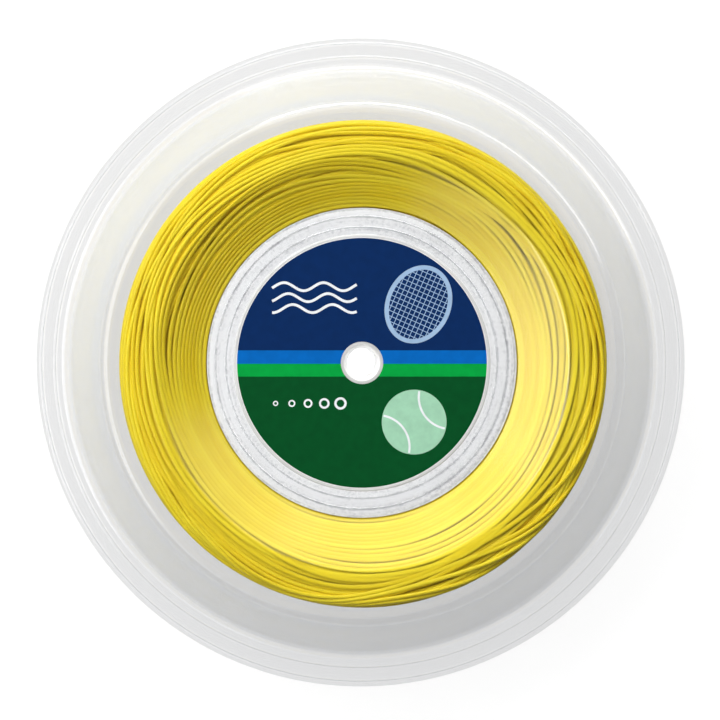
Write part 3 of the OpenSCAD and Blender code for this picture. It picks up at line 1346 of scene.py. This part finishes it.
@dataclass
class Label:
    """The printed label: fields, stripes and a generic racket and ball, as films of ink.

    Angles are in radians. The reach of the racket's strings is a share of its half sizes, and
    the seam's radius and offset are shares of the ball's radius. A tuple of two numbers for
    the waves' levels and the rings' radii holds the first one and the step to the next.
    """

    radius: float = 35.45
    hole_r: float = 6.0
    stripe_levels: tuple[float, float, float] = (-3.88, -0.26, 3.54)
    ink: float = 0.012
    racket_at: tuple[float, float] = (16.0, 16.6)
    racket_half: tuple[float, float] = (8.6, 10.8)
    racket_lean: float = -0.42
    racket_frame_w: float = 1.25
    racket_string_w: float = 0.2
    racket_strings: tuple[int, int] = (11, 14)
    racket_reach: tuple[float, float] = (0.8, 0.84)
    ball_at: tuple[float, float] = (14.8, -16.8)
    ball_r: float = 9.2
    seam_r: float = 0.98
    seam_offset: float = 1.36
    seam_half_angle: float = 0.83
    seam_turn: float = 0.6
    seam_w: float = 0.6
    wave_ends: tuple[float, float] = (-25.5, -1.5)
    wave_levels: tuple[float, float] = (15.4, 3.1)
    wave_height: float = 1.15
    wave_rate: float = 0.56
    wave_shift: float = 0.7
    wave_w: float = 0.75
    waves: int = 3
    ring_at: tuple[float, float] = (-24.5, -11.5)
    ring_step: float = 4.6
    ring_inner: tuple[float, float] = (0.4, 0.17)
    ring_outer: tuple[float, float] = (0.75, 0.25)
    rings: int = 5

    def sheet(self, name: str, parts: Sequence[Grid], level: int, ink: Ink,
              ) -> bpy.types.Object:
        """Make one ink film out of several grids of places.

        Args:
            name: Name of the piece.
            parts: Grids of x and y.
            level: How many films lie under this one.
            ink: Its ink.

        Returns:
            The film.
        """
        face = (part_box("front_label")[1].z - middle_height()) / METRES
        low = face + level * self.ink
        points, quads = joined([film(x, y, low, low + self.ink) for x, y in parts])
        piece = make_mesh(name, points, [quads], sharp_degrees=30)
        PrintedInk(f"ink_{ink.name.lower()}", Slot.LABEL, ink).dress(piece)
        return piece

    def beyond(self, sign: int, edge: float) -> list[Grid]:
        """Give the part of the label beyond a level line, above or below the middle.

        The grid runs over the angle and over the share t of the way from the inner edge,
        which is the line or the hole, whichever is further out, to the label's edge.

        Args:
            sign: 1 for above the middle, -1 for below.
            edge: Distance of the line from the middle.

        Returns:
            The part, as a list of one grid.
        """
        first = math.asin(edge / self.radius)
        angle = np.linspace(first, math.pi - first, 181)[None, :]
        t = np.linspace(0, 1, 12)[:, None]
        inner = np.maximum(self.hole_r, edge / np.sin(angle))
        radius = inner + (self.radius - inner) * t
        x, y = radius * np.cos(angle), sign * radius * np.sin(angle)
        return [(x, y)] if sign > 0 else [(x[:, ::-1], y[:, ::-1])]

    def stripe(self, low: float, high: float) -> list[Grid]:
        """Give a stripe's two halves, which run straight from the hole to the label's edge.

        Args:
            low: Level of its lower edge.
            high: Level of its upper edge.

        Returns:
            The right half and the left one.
        """
        y = np.linspace(low, high, 17)[None, :]
        t = np.linspace(0, 1, 15)[:, None]
        inner = np.sqrt(np.maximum(self.hole_r ** 2 - y ** 2, 0))
        outer = np.sqrt(self.radius ** 2 - y ** 2)
        x = inner + (outer - inner) * t
        level = np.broadcast_to(y, x.shape)
        return [(x, level), (-x[::-1], level[::-1])]

    @staticmethod
    def ribbon(line: Array, width: float) -> Grid:
        """Give a ribbon along an open line, half its width to the left and half to the right.

        Args:
            line: Places, shape (n, 2).
            width: Width of the ribbon.

        Returns:
            The ribbon.
        """
        way = np.gradient(line, axis=0)
        way /= np.linalg.norm(way, axis=1, keepdims=True)
        left = np.stack([-way[:, 1], way[:, 0]], axis=1) * width / 2
        both = np.stack([line - left, line + left], axis=1)
        return both[:, :, 0], both[:, :, 1]

    @staticmethod
    def ring(centre: tuple[float, float], inner: float, outer: float) -> Grid:
        """Give a ring, or a disc with a pinhole, over its angle and its radius.

        Args:
            centre: Its centre.
            inner: Its inner radius.
            outer: Its outer radius.

        Returns:
            The ring.
        """
        angle = np.linspace(0, 2 * math.pi, 73)[None, :]
        radius = np.linspace(inner, outer, 2)[:, None]
        return centre[0] + radius * np.cos(angle), centre[1] + radius * np.sin(angle)

    @staticmethod
    def turned(line: Array, angle: float) -> Array:
        """Turn places, shape (n, 2), anticlockwise about the origin."""
        c, s = math.cos(angle), math.sin(angle)
        return line @ np.array([[c, s], [-s, c]])

    def racket(self) -> list[Grid]:
        """Draw a racket's head: an ellipse with strings along and across it, that leans.

        Returns:
            The frame and the strings.
        """
        half = np.array(self.racket_half)
        angle = np.linspace(0, 2 * math.pi, 121)
        lines = [np.stack([np.cos(angle), np.sin(angle)], axis=1) * half]
        for axis, (count, reach) in enumerate(zip(self.racket_strings, self.racket_reach)):
            for level in np.linspace(-reach, reach, count):
                end = math.sqrt(1 - level ** 2)
                line = np.stack([np.full(9, level), np.linspace(-end, end, 9)], axis=1)
                lines.append((line if axis == 0 else line[:, ::-1]) * half)
        widths = [self.racket_frame_w] + [self.racket_string_w] * (len(lines) - 1)
        return [self.ribbon(self.turned(line, self.racket_lean) + self.racket_at, width)
                for line, width in zip(lines, widths)]

    def ball_seam(self) -> list[Grid]:
        """Draw the ball's seam: two arcs of a circle that bow towards its middle.

        Returns:
            Both arcs, as far as they lie on the ball.
        """
        bow = np.linspace(-1, 1, 41) * self.seam_half_angle
        line = np.stack([self.seam_offset - self.seam_r * np.cos(bow),
                         self.seam_r * np.sin(bow)], axis=1)
        line = line[np.hypot(line[:, 0], line[:, 1]) < self.seam_r] * self.ball_r
        return [self.ribbon(self.turned(line, way) + self.ball_at, self.seam_w)
                for way in (self.seam_turn, self.seam_turn + math.pi)]

    def slack_waves(self) -> list[Grid]:
        """Draw long waves, like slack string, each a sine over a level of its own.

        Returns:
            The waves.
        """
        x = np.linspace(*self.wave_ends, 97)
        first, step = self.wave_levels
        waves = [self.wave_height * np.sin(self.wave_rate * x + self.wave_shift * row)
                 for row in range(self.waves)]
        return [self.ribbon(np.stack([x, first + step * row + wave], axis=1), self.wave_w)
                for row, wave in enumerate(waves)]

    def gauge_rings(self) -> list[Grid]:
        """Draw a row of rings that grow, like cut ends of thicker and thicker string.

        Returns:
            The rings.
        """
        x, y = self.ring_at
        radii = (self.ring_inner, self.ring_outer)
        return [self.ring((x + self.ring_step * k, y), *(first + step * k for first, step in radii))
                for k in range(self.rings)]

    def build(self) -> list[bpy.types.Object]:
        """Print the label, film by film.

        Returns:
            The films.
        """
        low, middle, high = self.stripe_levels
        ball = [self.ring(self.ball_at, 0.01, self.ball_r)]
        return [self.sheet(*parts) for parts in (
            ("label_upper_field", self.beyond(1, high), 0, Ink.NAVY),
            ("label_lower_field", self.beyond(-1, -low), 0, Ink.DARK_GREEN),
            ("label_blue_stripe", self.stripe(middle, high), 0, Ink.BLUE),
            ("label_green_stripe", self.stripe(low, middle), 0, Ink.GREEN),
            ("label_racket", self.racket(), 1, Ink.PALE_BLUE),
            ("label_ball", ball, 1, Ink.PALE_GREEN),
            ("label_ball_seam", self.ball_seam(), 2, Ink.WHITE),
            ("label_waves", self.slack_waves(), 1, Ink.WHITE),
            ("label_gauges", self.gauge_rings(), 1, Ink.WHITE),
        )]


# ---- studio


def facing(back: Vector, up: Vector) -> Quaternion:
    """Find the turn that sends +Z one way, and +Y as near as can be to another.

    Args:
        back: Where +Z goes.
        up: Where +Y goes, as nearly as it can.

    Returns:
        The turn.
    """
    z = back.normalized()
    x = up.cross(z).normalized()
    return Matrix((x, z.cross(x), z)).transposed().to_quaternion()


@dataclass(frozen=True)
class Softbox:
    """A flat lamp.

    Attributes:
        azimuth: Its direction round the reel's axis, in degrees from +X.
        tilt: Its angle from the reel's axis, in degrees.
        level: Brightness of its face, where 1 is white.
        size: Its width, round the reel's axis, and its height, in metres.
        mirrored: Whether glossy surfaces mirror it.
    """

    azimuth: float
    tilt: float
    level: float
    size: tuple[float, float] = (1.2, 0.4)
    mirrored: bool = True


@dataclass
class Studio:
    """Floor, light and camera.

    Attributes:
        frame_width: Width of the picture at the reel's middle plane.
        frame_centre: Where the camera aims on that plane.
        lean: Slope of its line of sight along X and Y.
        lamp_distance: Distance of the softboxes, in metres.
        bore_beam: Width of the beam of the spot above the bore, in degrees.
        glow_d: Diameter of the lamp under the bore, in metres.
        room: Brightness of the room near the horizon and overhead.
        floor_mirrored: Share of the floor's light that glossy surfaces mirror.
        floor_near: The floor's glow to the camera, lowered as a painted shade under the reel, and
            its colour, near the reel's axis.
        floor_far: The same, far from it.
        floor_edge: Radii between which near turns into far, and the painted shade fades out, in
            metres.
    """

    frame_width: float = 205.46
    frame_centre: tuple[float, float] = (-0.225, 0.71)
    distance: float = 2600.0
    lean: tuple[float, float] = (-0.0208, 0.0064)
    sensor: float = 36.0
    lamp_distance: float = 1.63
    lamps: tuple[Softbox, ...] = (
        Softbox(45, 45, 0.66), Softbox(90, 45, 1.06), Softbox(135, 45, 1.1),
        Softbox(180, 45, 1.8), Softbox(225, 45, 0.8),
        Softbox(90, 28, 0.9, (1.2, 0.3)), Softbox(180, 28, 2.9, (1.2, 0.3)),
        Softbox(45, 68, 3.4, (1.2, 0.6)), Softbox(90, 68, 5.7, (1.2, 0.6)),
        Softbox(135, 50, 4.0, (1.2, 1.2), False), Softbox(180, 50, 1.2, (1.2, 1.2), False),
        Softbox(90, 0.1, 0.55, (1.2, 1.2), False),
    )
    bore_watts: float = 24.0
    bore_beam: float = 1.03
    glow_level: float = 2.5
    glow_d: float = 0.0075
    room: tuple[float, float] = (0.06, 0.02)
    floor_half: float = 9.0
    floor_mirrored: float = 0.5
    floor_near: tuple[float, float] = (0.68, 0.42)
    floor_far: tuple[float, float] = (0.88, 0.19)
    floor_edge: tuple[float, float] = (0.075, 0.087)

    def floor(self) -> None:
        """Lay a pale floor, just under the reel, whose lit parts read as white to the camera.

        It is a lamp to the camera and through glass, and a weaker one in gloss; to all other light
        it is plain paper. Near the reel's axis its glow is lower, which paints a shade under the
        reel, and its paper is lighter, so that the real shadows there show deeper too.
        """
        half, low = self.floor_half, -0.00005
        mesh = bpy.data.meshes.new("floor")
        mesh.from_pydata([(-half, -half, low), (half, -half, low), (half, half, low),
                          (-half, half, low)], [], [(0, 1, 2, 3)])
        plane = bpy.data.objects.new("floor", mesh)
        bpy.context.scene.collection.objects.link(plane)
        material = bpy.data.materials.new("pale_floor")
        t = Tree(material, "Material")
        _, _, radius = t.polar()
        # The glow is lower near the reel's axis, which paints a shade under the reel.
        glow_with_painted_shade, colour = (t.span(radius, self.floor_edge, ends)
                         for ends in zip(self.floor_near, self.floor_far))
        ray = t.node("LightPath").outputs
        mirrored = t.math("MULTIPLY", ray["Is Glossy Ray"], self.floor_mirrored)
        seen = t.math("MAXIMUM", ray["Is Camera Ray"], ray["Is Transmission Ray"])
        shown = t.math("MULTIPLY", t.math("MAXIMUM", mirrored, seen), glow_with_painted_shade)
        t.show(t.wired("AddShader", t.named("BsdfDiffuse", Color=colour),
                       t.named("Emission", Color=WHITE, Strength=shown)))
        mesh.materials.append(material)

    def lights(self) -> None:
        """Hang the softboxes, and two small lamps for the bore."""
        for index, box in enumerate(self.lamps):
            self.softbox(f"softbox_{index}", box)
        spot = bpy.data.lights.new("bore_lamp", "SPOT")
        spot.spot_size = math.radians(self.bore_beam)
        spot.spot_blend = 0.2
        spot.energy = self.bore_watts
        spot.shadow_soft_size = 0
        self.hang("bore_lamp", spot, Vector((0, 0, 0.62)), Quaternion())
        disc = bpy.data.lights.new("bore_glow", "AREA")
        disc.shape = "DISK"
        disc.size = self.glow_d
        disc.energy = self.glow_level * (math.pi * self.glow_d / 2) ** 2
        upwards = facing(Vector((0, 0, -1)), Vector((0, 1, 0)))
        self.hang("bore_glow", disc, Vector((0, 0, 0.0006)), upwards)

    def softbox(self, name: str, box: Softbox) -> None:
        """Hang a softbox that faces the reel.

        Args:
            name: Name of the lamp.
            box: The softbox.
        """
        data = bpy.data.lights.new(name, "AREA")
        data.shape = "RECTANGLE"
        data.size_y, data.size = box.size
        data.energy = box.level * math.pi * box.size[0] * box.size[1]
        around, down = math.radians(box.azimuth), math.radians(box.tilt)
        place = self.lamp_distance * Vector((math.sin(down) * math.cos(around),
                                             math.sin(down) * math.sin(around),
                                             math.cos(down)))
        turn = facing(place, Vector((place.y, -place.x, 1e-4)))
        self.hang(name, data, place, turn).visible_glossy = box.mirrored

    @staticmethod
    def hang(name: str, data: bpy.types.Light, place: Vector,
             turn: Quaternion) -> bpy.types.Object:
        """Hang a lamp that the camera doesn't see.

        Args:
            name: Name of the lamp.
            data: Its light.
            place: Its place, in metres.
            turn: Its turn; unturned, it shines down.

        Returns:
            The lamp.
        """
        lamp = bpy.data.objects.new(name, data)
        lamp.location = place
        lamp.rotation_mode = "QUATERNION"
        lamp.rotation_quaternion = turn
        lamp.visible_camera = False
        bpy.context.scene.collection.objects.link(lamp)
        return lamp

    def world(self) -> None:
        """Set a dim room that is brighter near the horizon, and white to the camera."""
        world = bpy.data.worlds.new("studio_room")
        bpy.context.scene.world = world
        t = Tree(world, "World")
        parts = t.node("SeparateXYZ")
        t.feed(parts.inputs[0], t.node("TexCoord").outputs["Generated"])
        room = t.named("Background", Color=(0.97, 0.98, 1, 1),
                       Strength=t.span(parts.outputs[2], (0.05, 0.8), self.room))
        white = t.named("Background", Color=WHITE, Strength=1)
        t.show(t.mix(t.node("LightPath").outputs["Is Camera Ray"], room, white))

    def camera(self) -> None:
        """Look straight down on the reel, from a little to the left and above its middle."""
        data = bpy.data.cameras.new("camera")
        data.sensor_width = self.sensor
        data.lens = self.sensor * self.distance / self.frame_width
        data.clip_end = 30
        lens = bpy.data.objects.new("camera", data)
        target = Vector((self.frame_centre[0] * METRES, self.frame_centre[1] * METRES,
                         middle_height()))
        back = Vector((*self.lean, 1)) * self.distance * METRES
        lens.location = target + back
        lens.rotation_mode = "QUATERNION"
        lens.rotation_quaternion = facing(back, Vector((0, 1, 0)))
        bpy.context.scene.collection.objects.link(lens)
        bpy.context.scene.camera = lens

    def build(self) -> None:
        """Set up everything, with colours shown as written."""
        self.camera()
        self.floor()
        self.lights()
        self.world()
        bpy.context.scene.view_settings.view_transform = "Standard"


def main() -> None:
    """Build the reel's pieces in order."""
    logging.basicConfig(level=logging.INFO, format="%(name)s: %(message)s")
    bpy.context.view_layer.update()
    Studio().build()
    ClearSheet("clear_sheet", Slot.SHELL).dress(*ClearShells().build())
    PaperPlies("paper_plies", Slot.PAPERBOARD).dress(CoreTube().build())
    Filament("yellow_filament", Slot.STRING).dress(*Winding().build())
    label = Label().build()
    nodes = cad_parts
    MouldedPlastic("moulded_plastic", Slot.PLUG).dress(nodes["front_plug"], nodes["back_plug"])
    CoatedPaper("coated_paper", Slot.LABEL).dress(nodes["front_label"])
    CrepeTape("crepe_tape", Slot.TAPE).dress(nodes["start_tape"])
    # The plug and its label stand over the core's end, and would grey one side of it with
    # their shadow and brighten the other with the light they throw back.
    for piece in (*label, nodes["front_label"], nodes["front_plug"]):
        piece.visible_shadow = False
        piece.visible_diffuse = False


if __name__ == "__main__":
    main()
